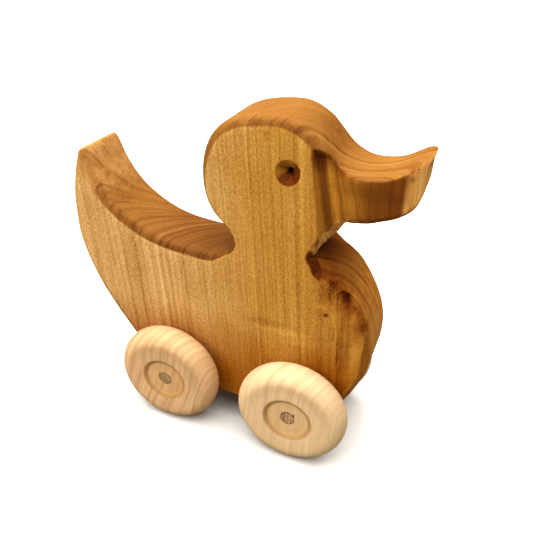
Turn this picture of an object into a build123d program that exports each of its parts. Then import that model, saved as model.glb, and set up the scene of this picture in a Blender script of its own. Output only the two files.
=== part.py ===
from build123d import *
import os
from math import cos, sin, radians, pi

# Wooden duck push toy on four wheels.
# +X is the way the beak points, +Y is the duck's left, +Z is up.
# Origin: floor level, under the middle of the overall length, on the centre plane.
# Everything is drawn with x = 0 midway between the axles, and the finished
# solids are moved forward by origin_shift. All dimensions in millimetres.

origin_shift = 8.168         # axle midpoint ahead of the middle of the overall length

# body stock
body_thickness = 32.6        # planed hardwood plank, side to side
half_thickness = body_thickness / 2
roundover = 5.0              # rounded rim along the whole outline
underside_z = 15.5           # flat bottom of the body above the floor
sole_allowance = 0.06        # planed off the bottom after the rims are rounded
sole_z = underside_z - sole_allowance

# running gear
wheel_diameter = 50.8
wheel_radius = wheel_diameter / 2
wheelbase = 62.2
axle_diameter = 6.35         # quarter inch dowel
axle_radius = axle_diameter / 2
axle_clearance = 0.06        # radial running clearance of the dowel in the body
track_half = 23.96           # centre plane of the duck to the widest rim circle
wheel_outer_depth = 7.28     # rim circle out to the ring face
wheel_inner_depth = 6.64     # rim circle in to the back face
rim_round = 7.14             # radial extent of the rounded rim
rim_power = 2.11             # superellipse exponent of the rim, 2 being a true ellipse
rim_steps = 9
hub_floor_depth = 5.69       # rim circle out to the sunken hub floor
hub_recess_radius = 10.4

# eyes: 45 degree countersinks with a pilot hole
eye_x, eye_z = 18.7, 133.2
eye_radius = 9.8 / 2
eye_overshoot = 1.0          # countersink tool starts this far outside the side face
pilot_radius = 1.7 / 2
pilot_overshoot = 0.5
pilot_length = eye_radius + 1.6

# ---------------------------------------------------------------------------
# Side outline, (x, z), in smooth runs: counterclockwise with +X to the right
# ---------------------------------------------------------------------------
tail_tip = (-77.4, 128.0)
beak_tip = (67.3, 143.7)
notch_front = (29.8, 98.9)       # tight corner between chin and chest
sole_rear = (-22.0, sole_z)
sole_front = (33.0, sole_z)

tail_points = [
    tail_tip, (-80.0, 120.6), (-82.5, 110.0), (-83.6, 97.5), (-82.9, 84.5),
    (-79.4, 71.8), (-73.6, 59.3), (-66.8, 48.2), (-59.6, 38.2),
    (-52.2, 29.6), (-45.2, 23.0), (-38.0, 18.2), (-30.5, 16.0), sole_rear]
chest_points = [
    sole_front, (41.0, 18.0), (47.6, 24.2), (52.2, 31.4), (55.4, 38.6),
    (57.8, 45.6), (59.1, 51.8), (59.4, 58.0), (58.6, 64.8), (56.5, 72.0),
    (53.2, 79.0), (48.8, 86.0), (43.4, 91.8), (38.0, 95.4), (33.6, 97.6), notch_front]
chin_points = [
    notch_front, (31.6, 101.4), (33.6, 104.2), (36.0, 107.0), (38.2, 110.2), (40.0, 113.4),
    (41.9, 115.2), (44.6, 116.0), (48.6, 116.7), (53.2, 118.2), (57.6, 120.0),
    (61.2, 122.2), (64.0, 125.0), (65.7, 128.6), (66.5, 133.0), (66.4, 138.0),
    (66.7, 141.4), beak_tip]
head_points = [
    beak_tip, (63.1, 141.2), (59.6, 138.9), (56.2, 137.0), (52.6, 135.8), (48.6, 135.3),
    (44.6, 135.4), (40.8, 136.4), (37.2, 138.2), (33.9, 140.9), (30.4, 144.6), (26.6, 148.1),
    (22.4, 150.8), (17.6, 152.6), (12.2, 153.0), (6.4, 152.5), (0.8, 151.5), (-4.2, 149.9),
    (-8.8, 147.4), (-12.6, 143.8), (-15.4, 139.2), (-17.0, 133.6), (-17.2, 127.6),
    (-16.3, 121.6), (-14.2, 115.8), (-11.2, 111.2), (-7.6, 107.8)]
back_points = [
    (-17.5, 91.6), (-22.5, 91.9), (-28.0, 92.2), (-33.2, 92.7), (-38.4, 93.5), (-43.8, 94.9),
    (-49.2, 97.1), (-54.6, 99.9), (-59.8, 103.5), (-64.6, 108.1), (-69.0, 114.0),
    (-72.4, 120.2), (-75.0, 125.6), tail_tip]

# corner cuts, (x, z)
chin_wedge = [notch_front, (35.2, 97.0), (41.0, 101.6), (32.9, 103.5), notch_front]
neck_hollow = [
    (-11.4, 112.6), (-8.0, 108.2), (-4.6, 104.6), (-2.8, 101.5), (-2.2, 98.5), (-3.4, 95.6),
    (-6.6, 93.4), (-11.0, 92.3), (-15.6, 92.9)]
neck_hollow_mouth = (-17.0, 101.0)

# directions of the outline where its runs meet, (x, z)
tail_tip_down = (-0.32, -0.95)
beak_tip_up = (0.30, 0.95)
beak_tip_back = (-0.86, -0.51)

# ---------------------------------------------------------------------------
# Beak tables
# ---------------------------------------------------------------------------
cheek_x, cheek_z = 26.7, 142.7       # top of the cheek edge
cheek_lean = 0.187                   # forward lean of the cove, per mm downwards
undercut = 0.12                      # inward lean of the beak side, per mm downwards
cut_top = 165.0                      # the side cutter runs from this level down to
cut_bottom = 100.2                   # this one, in the gap between chin and breast
cove_top = 143.4                     # upper end of the cove on the cheek
keep_length, keep_height = 26, 30    # block above the cove that the side cutter spares
keep_x = 20

# (distance ahead of the cheek edge, depth below the flat side), at the level cheek_z
cove = [
    (0.0, 0.0), (0.5, 1.5), (1.5, 2.7), (3.2, 3.4), (5.5, 3.0), (8.5, 1.9), (12.0, 0.8),
    (15.0, 0.5), (19.0, 0.8), (25.0, 1.4), (31.0, 1.8), (38.0, 2.2), (48.0, 2.6)]
# (x, depth below the flat side), ending on the centre plane
nose = [
    (56.0, 1.6), (60.5, 2.9), (63.0, 4.3), (64.9, 6.1), (66.2, 8.5), (67.0, 11.6),
    (67.4, half_thickness)]
nose_cut_z, nose_cut_height = 105.0, 50

# wheel face between the rim and the hub recess, (radius, drop below the ring face)
ring_dish = [(15.0, 0.12), (12.6, 0.45), (11.2, 0.95)]


# ---------------------------------------------------------------------------
# Drawing helpers
# ---------------------------------------------------------------------------
def side_point(point):
    """Point or direction (x, z) on the centre plane."""
    return Vector(point[0], 0, point[1])


def curve(points, *tangents):
    """Spline through (x, z) points, optionally with start and end directions."""
    vectors = [side_point(p) for p in points]
    if tangents:
        return Spline(*vectors, tangents=[side_point(t) for t in tangents])
    return Spline(*vectors)


def closed_face(edge, corners):
    """Face bounded by an edge and by straight lines from its end through the corners."""
    closing = Polyline(edge.position_at(1), *corners, edge.position_at(0))
    return Face(Wire([edge] + list(closing.edges())))


def across(face, half_width):
    return extrude(face, half_width, dir=(0, 1, 0), both=True)


def nearest(edge, point, steps=2000):
    """Parameter, 0 to 1, of the place on the edge nearest to (x, z)."""
    target = side_point(point)
    best = min(range(steps + 1), key=lambda i: (edge.position_at(i / steps) - target).length)
    return best / steps


def bridge(first, middle, second):
    """Arc from the end of one edge to the start of another."""
    return ThreePointArc(first.position_at(1), side_point(middle), second.position_at(0))


def lead_in(point, direction, length):
    end = side_point(point)
    return Line(end - side_point(direction).normalized() * length, end)


def lead_out(point, direction, length):
    start = side_point(point)
    return Line(start, start + side_point(direction).normalized() * length)


def rail(edges, spacing=2.5):
    """One smooth spline fitted along a chain of edges."""
    points = []
    for i, edge in enumerate(edges):
        count = max(3, int(edge.length / spacing))
        first = 0 if i == 0 else 1
        points += [edge.position_at(k / count) for k in range(first, count + 1)]
    return Edge.make_spline_approx(points, tol=0.03, min_deg=3, max_deg=5)


# ---------------------------------------------------------------------------
# Body. Its outline is two long rails, one under the duck and one over it, that
# cross at the tail tip and the beak tip. In the two tight corners (chin to
# chest, neck to back) the rails bridge the corner on an arc, because the router
# that rounds the rims cannot reach in. The corners are cut out afterwards.
# ---------------------------------------------------------------------------
def make_low_rail():
    tail = curve(tail_points, tail_tip_down, (1, 0))
    bottom = Line(side_point(sole_rear), side_point(sole_front))
    chest = curve(chest_points, (1, 0), (-0.96, 0.28))
    chest = chest.trim(0, nearest(chest, (34.4, 97.2)))
    chin = curve(chin_points, (0.58, 0.81), beak_tip_up)
    chin = chin.trim(nearest(chin, (32.7, 102.9)), 1)
    return rail([
        lead_in(tail_tip, tail_tip_down, 9), tail, bottom, chest,
        bridge(chest, (32.1, 99.6), chin), chin, lead_out(beak_tip, beak_tip_up, 9)])


def make_high_rail():
    head = curve(head_points, beak_tip_back, (0.76, -0.65))
    head = head.trim(0, nearest(head, (-9.6, 109.6)))
    back = curve(back_points, (-1, 0.0), (-0.80, 0.60))
    back = back.trim(nearest(back, (-18.5, 91.6)), nearest(back, (-73.2, 121.8)))
    end, way = back.position_at(1), back.tangent_at(1)
    return rail([
        lead_in(beak_tip, beak_tip_back, 9), head,
        bridge(head, (-7.6, 98.2), back), back,
        lead_out((end.X, end.Z), (way.X, way.Z), 14)])


def rail_slab(path, corners):
    """Plank thickness slab between a rail and far corners (x, z)."""
    return across(closed_face(path, [side_point(c) for c in corners]), half_thickness)


def round_tool(path, side):
    """Waste that the roundover removes along one rail on one side face."""
    origin = path.position_at(0)
    tangent = path.tangent_at(0)
    outward = Vector(tangent.Z, 0, -tangent.X)
    waste_out, waste_side = 1.6, 2

    def at(out, depth):
        return origin + outward * out + Vector(0, side * (half_thickness - depth), 0)

    # a slightly flat sweep leaves a faint line at each end of the round
    middle = roundover * (1 - cos(radians(45))) + 0.10
    start, end = at(0, roundover), at(-roundover, 0)
    side_corner = at(-roundover, -waste_side)
    far_corner = at(waste_out, -waste_side)
    out_corner = at(waste_out, roundover)
    profile = Face(Wire([
        ThreePointArc(start, at(-middle, middle), end),
        Line(end, side_corner), Line(side_corner, far_corner),
        Line(far_corner, out_corner), Line(out_corner, start)]))
    return sweep(profile, path)


def make_blank():
    """Plank cut to the outline, with rounded rims and a planed sole."""
    low, high = make_low_rail(), make_high_rail()
    above_low = rail_slab(low, [(90, 200), (-95, 200)])
    below_high = rail_slab(high, [(-130, 130), (-130, -40), (110, -40), (110, 150)])
    blank = above_low & below_high
    for side in (-1, 1):
        for path in (low, high):
            blank = blank - round_tool(path, side)
    plane_depth = 10
    return blank - Pos(0, 0, underside_z - plane_depth / 2) * Box(120, 60, plane_depth)


def cut_corners(body):
    """Open the tight corners: chin to chest, then neck to back."""
    half_width = half_thickness + 2
    wedge = Polyline(*[side_point(p) for p in chin_wedge])
    body = body - across(Face(Wire(list(wedge.edges()))), half_width)
    hollow = closed_face(curve(neck_hollow), [side_point(neck_hollow_mouth)])
    return body - across(hollow, half_width)


def beak_side_cutter(side):
    """Leaning cutter: a cove behind the beak, then the undercut beak side."""
    rise = cut_top - cheek_z
    start_x = cheek_x - cheek_lean * rise
    end_x = start_x + cove[-1][0]
    outer_depth = -16.0              # outer edge of the cutter, outside the side face

    def plan(x, depth):
        return Vector(x, side * (half_thickness - depth), cut_top)

    edge = Spline(*[plan(start_x + ahead, depth - undercut * rise) for ahead, depth in cove])
    face = closed_face(edge, [plan(end_x, outer_depth), plan(start_x, outer_depth)])
    drop = Vector(cheek_lean, -side * undercut, -1.0)
    cutter = extrude(face, (cut_top - cut_bottom) * drop.length, dir=tuple(drop.normalized()))
    keep = Box(keep_length, 30, keep_height)
    return cutter - Pos(keep_x, side * half_thickness, cove_top + keep_height / 2) * keep


def nose_cutter():
    """Rounds the end of the beak in plan."""
    right = [Vector(x, -(half_thickness - depth), nose_cut_z) for x, depth in nose]
    left = [Vector(p.X, -p.Y, p.Z) for p in reversed(right[:-1])]
    rear_x, front_x, half_width = nose[0][0], 80, 25
    corners = [
        Vector(rear_x, half_width, nose_cut_z), Vector(front_x, half_width, nose_cut_z),
        Vector(front_x, -half_width, nose_cut_z), Vector(rear_x, -half_width, nose_cut_z)]
    return extrude(closed_face(Spline(*(right + left)), corners), nose_cut_height, dir=(0, 0, 1))


def cut_eye(body, side):
    def tool_plane(overshoot):
        y = side * (half_thickness + overshoot)
        return Plane((eye_x, y, eye_z), z_dir=(0, -side, 0))

    cone_size = eye_radius + eye_overshoot
    cone = Solid.make_cone(cone_size, 0.0, cone_size, tool_plane(eye_overshoot))
    pilot = Solid.make_cylinder(pilot_radius, pilot_length, tool_plane(pilot_overshoot))
    return body - cone - pilot


def cross_cylinder(x, radius, half_length):
    """Cylinder across the duck, centred on an axle line."""
    plane = Plane((x, -half_length, wheel_radius), z_dir=(0, 1, 0))
    return Solid.make_cylinder(radius, 2 * half_length, plane)


def make_body():
    body = cut_corners(make_blank())
    for side in (-1, 1):
        body = body - beak_side_cutter(side)
    body = body - nose_cutter()
    for side in (-1, 1):
        body = cut_eye(body, side)
    for x in (-wheelbase / 2, wheelbase / 2):
        body = body - cross_cylinder(x, axle_radius + axle_clearance, half_thickness + 2)
    return body.solids().sort_by(SortBy.VOLUME)[-1]


# ---------------------------------------------------------------------------
# Turned wheels, glued to the dowels, and the dowels themselves
# ---------------------------------------------------------------------------
def rim_points(depth):
    """Superellipse quarter, (radius, distance out from the rim circle)."""
    points = []
    for k in range(rim_steps + 1):
        angle = k / rim_steps * pi / 2
        radius = wheel_radius - rim_round + rim_round * cos(angle) ** (2 / rim_power)
        points.append((radius, depth * sin(angle) ** (2 / rim_power)))
    return points


def make_wheel(x, side):
    def at(radius, out):
        return Vector(x + radius, side * (track_half + out), wheel_radius)

    front = [at(*p) for p in rim_points(wheel_outer_depth)]
    rear = [at(*p) for p in rim_points(-wheel_inner_depth)]
    dish = [at(radius, wheel_outer_depth - drop) for radius, drop in ring_dish]
    recess_edge = at(hub_recess_radius, hub_floor_depth)
    floor_centre = at(axle_radius, hub_floor_depth)
    rear_centre = at(axle_radius, -wheel_inner_depth)
    outward = Vector(0, side, 0)
    to_hub = Vector(-1, 0, 0)
    into_recess = Vector(-0.35, -side * 0.94, 0)
    edges = [
        Spline(*front, tangents=[outward, to_hub]),
        Spline(front[-1], *dish, recess_edge, tangents=[to_hub, into_recess]),
        Line(recess_edge, floor_centre),
        Line(floor_centre, rear_centre),
        Line(rear_centre, rear[-1]),
        Spline(*rear, tangents=[-outward, to_hub]),
    ]
    return revolve(Face(Wire(edges)), Axis((x, 0, wheel_radius), (0, 1, 0)))


parts = {"duck_body": make_body()}
for end_name, axle_x in (("front", wheelbase / 2), ("rear", -wheelbase / 2)):
    parts[f"{end_name}_axle"] = cross_cylinder(axle_x, axle_radius, track_half + hub_floor_depth)
    for side_name, side in (("right", -1), ("left", 1)):
        parts[f"{end_name}_wheel_{side_name}"] = make_wheel(axle_x, side)

os.makedirs("parts", exist_ok=True)
for name, part in parts.items():
    solid = part.solids()[0].moved(Location((origin_shift, 0, 0)))
    export_step(solid, f"parts/{name}.step")
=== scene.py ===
"""A wooden pull-along duck: a thick carved plank on four turned wheels and two dowel axles.

Pieces are built in millimetres and scaled to metres. The beak points along +x, the duck's left
is +y and up is +z, with the floor at z = 0. Shapes are drawn with x = 0 midway between the
axles, then moved forward by AXLE_SHIFT.
"""

import math

import bpy
import numpy as np
from mathutils import Matrix, Vector


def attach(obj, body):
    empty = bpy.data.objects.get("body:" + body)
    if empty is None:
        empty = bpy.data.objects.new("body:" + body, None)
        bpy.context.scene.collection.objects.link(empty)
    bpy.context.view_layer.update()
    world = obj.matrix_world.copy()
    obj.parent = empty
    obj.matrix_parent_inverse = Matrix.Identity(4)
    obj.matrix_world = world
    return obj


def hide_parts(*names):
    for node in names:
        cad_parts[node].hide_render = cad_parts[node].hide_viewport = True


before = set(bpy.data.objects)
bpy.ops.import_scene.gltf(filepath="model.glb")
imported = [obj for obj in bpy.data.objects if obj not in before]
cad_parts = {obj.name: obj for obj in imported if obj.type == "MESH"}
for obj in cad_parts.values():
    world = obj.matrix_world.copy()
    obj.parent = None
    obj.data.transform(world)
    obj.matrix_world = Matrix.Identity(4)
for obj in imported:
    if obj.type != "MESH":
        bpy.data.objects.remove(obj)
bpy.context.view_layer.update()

MM = 0.001
AXLE_SHIFT = 8.168       # axle midpoint ahead of the row origin
HALF_THICK = 16.3        # half the body's thickness
RIM_ROUND = 5.0          # routed rim
WHEEL_RADIUS = 25.4      # also the height of the axles
HALF_BASE = 31.1         # half the distance between the axles
AXLE_BORE = 3.235        # hole through the body
HUB_BORE = 3.175         # hole through a wheel
DOWEL_RADIUS = 3.172
TRACK = 23.96            # middle plane of the body to a wheel's rim circle
HUB_OUT = 5.69           # hub floor outward of the rim circle
EYE_X, EYE_Z, EYE_RADIUS = 18.7, 133.2, 4.9
KNOT_X, KNOT_Z = 39.5, 75.5
SIN_45 = 0.7071


def smoothstep(low, high, x):
    share = np.clip((x - low) / (high - low), 0.0, 1.0)
    return share * share * (3 - 2 * share)


def smax(first, second, width):
    """Maximum with the crease rounded over the given width."""
    share = np.clip(0.5 + 0.5 * (first - second) / width, 0.0, 1.0)
    return second + (first - second) * share + width * share * (1 - share)


def smin(first, second, width):
    return -smax(-first, -second, width)


def waves(x, y, z, seed, size, octaves=3):
    """A smooth, repeatable wobble, roughly -1 to 1, made of crossed sine waves."""
    rng = np.random.RandomState(seed)
    out = np.zeros(np.broadcast(x, y, z).shape)
    total = 0.0
    for octave in range(octaves):
        for _ in range(4):
            way = rng.normal(size=3)
            way /= np.linalg.norm(way)
            pace = 2 * math.pi / size * (2 ** octave) * rng.uniform(0.7, 1.3)
            phase = rng.uniform(0, 6.28)
            out = out + np.sin((x * way[0] + y * way[1] + z * way[2]) * pace + phase) / 2 ** octave
            total += 0.6 / (2 ** octave)
    return out / total


def round_waves(radius, angle, seed, size, octaves, out=0.0):
    """The same wobble, placed by radius and angle about an axle."""
    return waves(radius * np.cos(angle), radius * np.sin(angle), out, seed, size, octaves)


# ---------------------------------------------------------------------------
# Side outline: (x, z) points
# ---------------------------------------------------------------------------
SPLINE_STEP = 0.35
BELLY_BACK, BELLY_FRONT = (-22.0, 15.5), (33.0, 15.5)
TAIL = (-77.4, 128.0)
BEAK = (67.3, 143.7)
NOTCH = (29.8, 98.9)
TAIL_OUTER = [
    TAIL, (-80.0, 120.6), (-82.5, 110.0), (-83.6, 97.5), (-82.9, 84.5), (-79.4, 71.8),
    (-73.6, 59.3), (-66.8, 48.2), (-59.6, 38.2), (-52.2, 29.6), (-45.2, 23.0), (-38.0, 18.2),
    (-30.5, 16.0), BELLY_BACK]
CHEST = [
    BELLY_FRONT, (41.0, 18.0), (47.6, 24.2), (52.2, 31.4), (55.4, 38.6), (57.8, 45.6),
    (59.1, 51.8), (59.4, 58.0), (58.6, 64.8), (56.5, 72.0), (53.2, 79.0), (48.8, 86.0),
    (43.4, 91.8), (38.0, 95.4), (33.6, 97.6), NOTCH]
CHIN = [
    NOTCH, (31.6, 101.4), (33.6, 104.2), (36.0, 107.0), (38.2, 110.2), (40.0, 113.4),
    (41.9, 115.2), (44.6, 116.0), (48.6, 116.7), (53.2, 118.2), (57.6, 120.0), (61.2, 122.2),
    (64.0, 125.0), (65.7, 128.6), (66.5, 133.0), (66.4, 138.0), (66.7, 141.4), BEAK]
HEAD_AND_BACK = [
    BEAK, (63.1, 141.2), (59.6, 138.9), (56.2, 137.0), (52.6, 135.8), (48.6, 135.3),
    (44.6, 135.4), (40.8, 136.4), (37.2, 138.2), (33.9, 140.9), (30.4, 144.6), (26.6, 148.1),
    (22.4, 150.8), (17.6, 152.6), (12.2, 153.0), (6.4, 152.5), (0.8, 151.5), (-4.2, 149.9),
    (-8.8, 147.4), (-12.6, 143.8), (-15.4, 139.2), (-17.0, 133.6), (-17.2, 127.6),
    (-16.3, 121.6), (-14.2, 115.8), (-11.2, 111.2), (-7.8, 107.9), (-4.6, 104.6), (-2.8, 101.5),
    (-2.2, 98.5), (-3.4, 95.6), (-6.6, 93.4), (-11.6, 92.1), (-17.5, 91.6), (-22.5, 91.9),
    (-28.0, 92.2), (-33.2, 92.7), (-38.4, 93.5), (-43.8, 94.9), (-49.2, 97.1), (-54.6, 99.9),
    (-59.8, 103.5), (-64.6, 108.1), (-69.0, 114.0), (-72.4, 120.2), (-75.0, 125.6), TAIL]


def spline(points, start, end):
    """Cubic spline with the given end directions, sampled without its last point."""
    knots = np.array(points, float)
    gaps = np.linalg.norm(np.diff(knots, axis=0), axis=1)
    slopes = np.diff(knots, axis=0) / gaps[:, None]
    count = len(knots)
    system = np.zeros((count, count))
    target = np.zeros((count, 2))
    system[0, :2] = 2 * gaps[0], gaps[0]
    target[0] = 6 * (slopes[0] - np.array(start) / np.linalg.norm(start))
    system[-1, -2:] = gaps[-1], 2 * gaps[-1]
    target[-1] = 6 * (np.array(end) / np.linalg.norm(end) - slopes[-1])
    for i in range(1, count - 1):
        system[i, i - 1:i + 2] = gaps[i - 1], 2 * (gaps[i - 1] + gaps[i]), gaps[i]
        target[i] = 6 * (slopes[i] - slopes[i - 1])
    bends = np.linalg.solve(system, target)
    pieces = []
    for i, gap in enumerate(gaps):
        steps = max(2, int(gap / SPLINE_STEP))
        done = (np.arange(steps) / steps * gap)[:, None]
        left = gap - done
        pieces.append(bends[i] * left ** 3 / (6 * gap) + bends[i + 1] * done ** 3 / (6 * gap)
                      + (knots[i] / gap - bends[i] * gap / 6) * left
                      + (knots[i + 1] / gap - bends[i + 1] * gap / 6) * done)
    return np.vstack(pieces)


OUTLINE = np.vstack([
    spline(TAIL_OUTER, start=(-0.32, -0.95), end=(1, 0)),
    np.linspace(BELLY_BACK, BELLY_FRONT, 80)[:-1],
    spline(CHEST, start=(1, 0), end=(-0.96, 0.28)),
    spline(CHIN, start=(0.58, 0.81), end=(0.30, 0.95)),
    spline(HEAD_AND_BACK, start=(-0.86, -0.51), end=(-0.80, 0.60))])

# Grid holding the distance from the outline
GRID_X, GRID_Z, GRID_CELL = -92.0, 7.0, 0.3
GRID_COLUMNS, GRID_ROWS = 560, 515
GRID_FAR = 14.0          # distances are cut off here
GRID_BLOCK = 24          # cells handled together


def distance_grid():
    """Signed distance from the outline, negative inside."""
    starts = OUTLINE
    ends = np.roll(OUTLINE, -1, axis=0)
    xs = GRID_X + GRID_CELL * np.arange(GRID_COLUMNS)
    zs = GRID_Z + GRID_CELL * np.arange(GRID_ROWS)
    grid = np.full((GRID_COLUMNS, GRID_ROWS), GRID_FAR)
    inside = np.zeros(grid.shape, bool)
    for (start_x, start_z), (end_x, end_z) in zip(starts, ends):   # even-odd rule by column
        first = math.ceil((min(start_x, end_x) - GRID_X) / GRID_CELL)
        last = math.ceil((max(start_x, end_x) - GRID_X) / GRID_CELL)
        for i in range(max(first, 0), min(last, GRID_COLUMNS)):
            crossing = start_z + (xs[i] - start_x) * (end_z - start_z) / (end_x - start_x)
            inside[i, zs < crossing] ^= True
    reach = GRID_FAR + GRID_CELL * GRID_BLOCK * 0.75 + 1.0
    for i in range(0, GRID_COLUMNS, GRID_BLOCK):
        for j in range(0, GRID_ROWS, GRID_BLOCK):
            x = xs[i:i + GRID_BLOCK][:, None]
            z = zs[j:j + GRID_BLOCK][None, :]
            near = (starts[:, 0] - x.mean()) ** 2 + (starts[:, 1] - z.mean()) ** 2 < reach ** 2
            if not near.any():
                continue
            base = starts[near]
            run = ends[near] - base
            from_x = x[:, :, None] - base[:, 0]
            from_z = z[:, :, None] - base[:, 1]
            along = (from_x * run[:, 0] + from_z * run[:, 1]) / (run ** 2).sum(1)
            along = np.clip(along, 0, 1)
            squared = (from_x - along * run[:, 0]) ** 2 + (from_z - along * run[:, 1]) ** 2
            grid[i:i + GRID_BLOCK, j:j + GRID_BLOCK] = np.minimum(GRID_FAR, np.sqrt(squared.min(2)))
    return np.where(inside, -grid, grid)


outline_grid = distance_grid()


def catmull_rom(t):
    return (-0.5 * t + t * t - 0.5 * t ** 3, 1 - 2.5 * t * t + 1.5 * t ** 3,
            0.5 * t + 2 * t * t - 1.5 * t ** 3, -0.5 * t * t + 0.5 * t ** 3)


def outline_distance(x, z):
    """Smooth lookup in the distance grid."""
    column = np.clip((x - GRID_X) / GRID_CELL, 1.0, GRID_COLUMNS - 3.001)
    row = np.clip((z - GRID_Z) / GRID_CELL, 1.0, GRID_ROWS - 3.001)
    i, j = column.astype(int), row.astype(int)
    column_weights, row_weights = catmull_rom(column - i), catmull_rom(row - j)
    out = 0.0
    for m in range(4):
        for n in range(4):
            out = out + outline_grid[i + m - 1, j + n - 1] * column_weights[m] * row_weights[n]
    return out


# ---------------------------------------------------------------------------
# Carving. `side` is the distance from the body's middle plane and `edge` the
# signed distance from the outline.
# ---------------------------------------------------------------------------
CHEEK_X, CHEEK_TOP, CHEEK_LEAN = 26.7, 142.7, 0.187    # leaning front edge of the cheek
BEVEL_X, BEVEL_Z = 29.8, 99.2                          # lower end of the chin bevel
# (distance ahead of the cheek edge, depth cut from the flat face)
COVE = np.array([
    (0.0, 0.0), (0.5, 1.5), (1.5, 2.7), (3.2, 3.4), (5.5, 3.0), (8.5, 1.9), (12.0, 0.8),
    (15.0, 0.5), (19.0, 0.8), (25.0, 1.4), (31.0, 1.8), (38.0, 2.2), (48.0, 2.6)])


def smooth_cove():
    """The cove sampled finely and softened everywhere but at its sharp first edge."""
    ahead = np.linspace(0, 48, 481)
    depth = np.interp(ahead, *COVE.T)
    kernel = np.exp(-0.5 * (np.arange(-20, 21) / 7.0) ** 2)
    kernel /= kernel.sum()
    soft = np.convolve(np.pad(depth, 20, mode="edge"), kernel, mode="valid")
    share = smoothstep(1.0, 3.5, ahead)
    return ahead, depth * (1 - share) + soft * share


COVE_AHEAD, COVE_DEPTH = smooth_cove()


def past_cheek(x, z):
    return x - (CHEEK_X + CHEEK_LEAN * (CHEEK_TOP - z))


def beak_cut(x, side, z):
    """Hollows the cove in front of the cheek and leans in the beak's side."""
    ahead = past_cheek(x, z)
    wobble = (0.12 * np.sin(z * 0.55 + 1.0) * smoothstep(2, 6, ahead)
              + 0.10 * np.sin(x * 0.8 + z * 0.23))
    depth = np.interp(np.clip(ahead, 0, 48), COVE_AHEAD, COVE_DEPTH)
    depth = depth * (1 - smoothstep(139.5, 145.5, z)) + 0.12 * (CHEEK_TOP - z)
    depth = depth + wobble * smoothstep(0.5, 3, ahead)
    return smin(ahead, (side - HALF_THICK + depth) / 1.05, 0.5)


def beak_side(x, side, z):
    """The beak cut, held off the rest of the body."""
    return np.where((x > 18) & (z > 100.2), beak_cut(x, side, z), -5.0)


def nose_cut(x, side):
    """Rounds the beak's tip as seen from above."""
    ahead = np.clip((x - 56.0) / 11.4, 0, None)
    return ((ahead ** 2.8 + (side / 13.9) ** 2.8 + 1e-9) ** (1 / 2.8) - 1) * 11.5


def chin_bevel(x, side, z, edge):
    """Knife-cut bevel under the cheek, from the notch to the root of the beak."""
    face = np.maximum(side - HALF_THICK, beak_side(x, side, z))
    here = (smoothstep(29.2, 31.0, x) * smoothstep(45.0, 41.5, x)
            * smoothstep(-0.8, 0.8, z - BEVEL_Z - 0.6 * (x - BEVEL_X)) * (z < 119))
    width = 2.5 + 0.45 * np.sin(x * 1.9 + 0.6) + 0.25 * np.sin(x * 4.3 + z)
    return (edge + face + width - 12 * (1 - here)) * SIN_45


def notch_scoop(x, side, z):
    """Small oval hollow where the cheek and breast cuts meet."""
    up = z - 97.5
    across = x - 32.3 + 0.42 * up + 0.35 * np.sin(z * 0.9)
    oval = np.sqrt((across / 2.4) ** 2 + (up / 5.6) ** 2)
    return np.maximum((1 - oval) * 2.4 - (HALF_THICK - side) * 0.55, -6.0)


def rounded_plank(x, side, z, edge):
    """The outlined plank, its rim radius smaller in the tight inner corners."""
    radius = np.full_like(edge, RIM_ROUND)
    from_notch = np.hypot(x - NOTCH[0], z - NOTCH[1])
    radius = radius - 3.3 * (1 - smoothstep(1.5, 8.5, from_notch))
    neck = smoothstep(93.5, 98.5, z) * (1 - smoothstep(110.0, 139.0, z)) * (x < 8) * (x > -30)
    back = smoothstep(-13.5, -5.0, x) * (z < 98) * (x < 8)
    radius = radius - 3.9 * np.maximum(neck, back)
    over_edge, over_face = edge + radius, side - HALF_THICK + radius
    return (np.minimum(np.maximum(over_edge, over_face), 0)
            + np.hypot(np.maximum(over_edge, 0), np.maximum(over_face, 0)) - radius)


def body_field(x, y, z):
    """Distance-like field of the whole carved body, negative inside."""
    side = np.abs(y)
    edge = outline_distance(x, z)
    field = rounded_plank(x, side, z, edge)
    low_beak = 1 - smoothstep(119.0, 127.0, z - 0.25 * (x - 45))
    crease = 0.5 + 2.0 * low_beak * smoothstep(-5.5, -2.5, edge)
    field = smax(field, beak_side(x, side, z), crease)
    # the scoop is cut on the right-hand side only
    field = smax(field, np.where(y < 0, notch_scoop(x, side, z), -6.0), 0.6)
    field = smax(field, chin_bevel(x, side, z, edge), 0.25)
    field = smax(field, np.where(x > 56.2, nose_cut(x, side), -5.0), 0.7)
    # tail tip knocked off
    tip = ((x - TAIL[0]) * -0.62 + (z - TAIL[1]) * 0.78) + 0.9
    field = np.where(x < -70, smax(field, tip, 1.2), field)
    # eye: a 45 degree cone with a drilled centre
    from_eye = np.hypot(x - EYE_X, z - EYE_Z)
    depth = HALF_THICK - side
    field = smax(field, (EYE_RADIUS - from_eye - depth) * SIN_45, 0.25)
    field = np.maximum(field, np.minimum(0.95 - from_eye, 6.3 - depth))
    for axle_x in (-HALF_BASE, HALF_BASE):
        field = np.maximum(field, AXLE_BORE - np.hypot(x - axle_x, z - WHEEL_RADIUS))
    # small open knot on the right-hand breast
    from_knot = np.sqrt((x - KNOT_X) ** 2 + (z - KNOT_Z) ** 2 * 1.6 + (y + HALF_THICK + 0.1) ** 2)
    return smax(field, 0.95 - from_knot, 0.35)


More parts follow.
